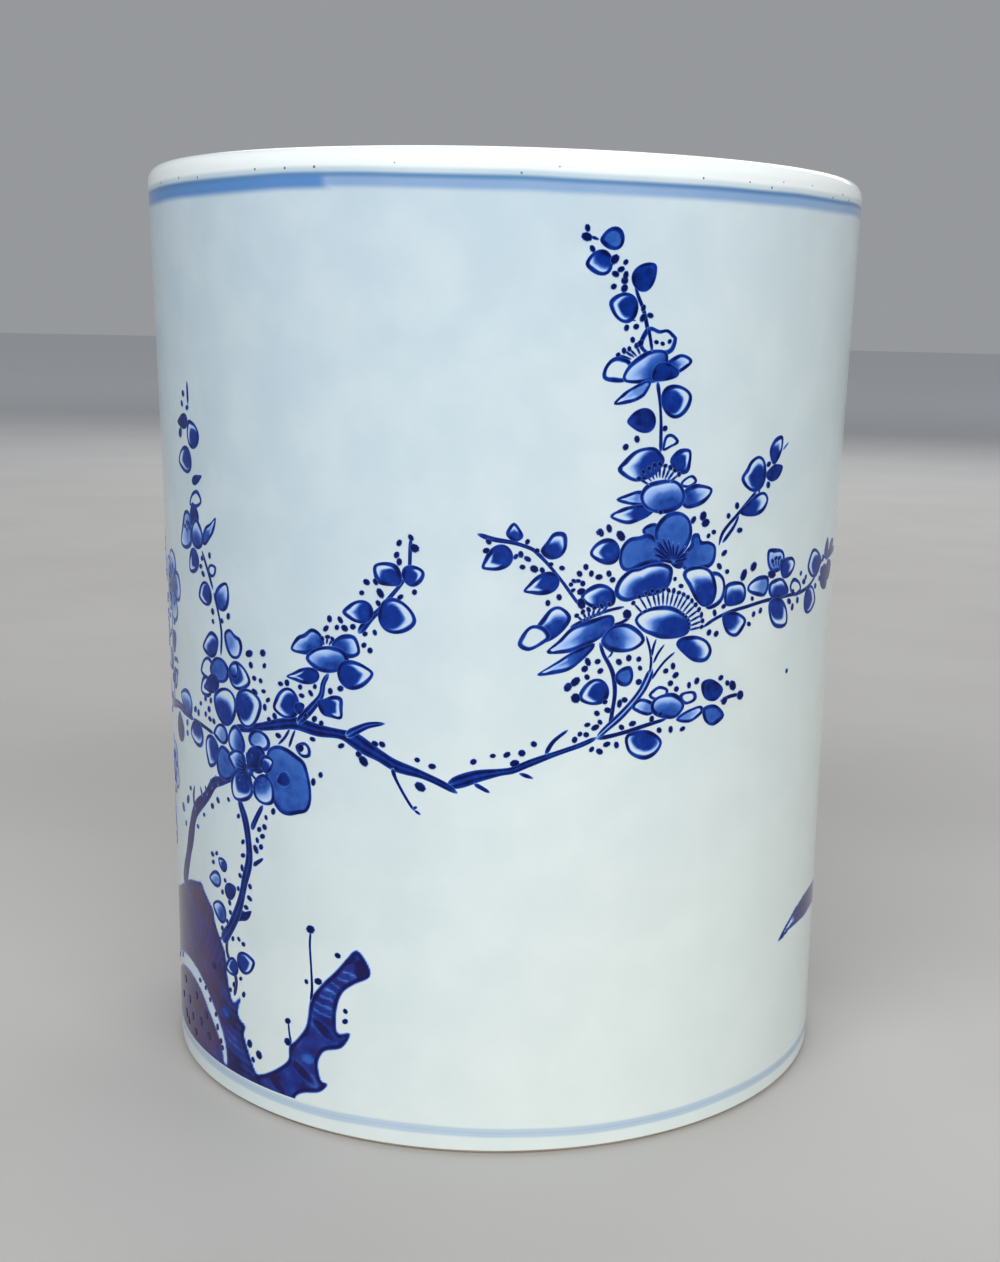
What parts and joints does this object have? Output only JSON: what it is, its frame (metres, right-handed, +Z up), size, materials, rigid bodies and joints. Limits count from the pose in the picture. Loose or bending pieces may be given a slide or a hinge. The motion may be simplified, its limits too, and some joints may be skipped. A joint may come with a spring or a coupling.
{
  "type": "brush holder pot",
  "caption": "Near-straight porcelain cylinder with a round lip, a flat bare foot ring and a glazed, open inside, for standing writing brushes in.",
  "frame": {"origin": "middle of the foot ring's underside, on the surface that the pot stands on", "axes": "+Z up along the axis that the pot was turned on; -Y is the side of the painting with the long plum branch; +X is to the right of it"},
  "size_m": [0.1824, 0.1824, 0.23],
  "materials": {
    "bare_porcelain": "unglazed, smooth matt biscuit, slightly warm at the glaze line",
    "clear_glaze": "clear glossy glaze, faintly blue-green, over white porcelain with cobalt painting",
    "base_glaze": "the same clear glossy glaze, unpainted"
  },
  "bodies": {
    "root": {"porcelain_body": "bare_porcelain", "outer_glaze": "clear_glaze", "base_glaze": "base_glaze"}
  },
  "joints": []
}
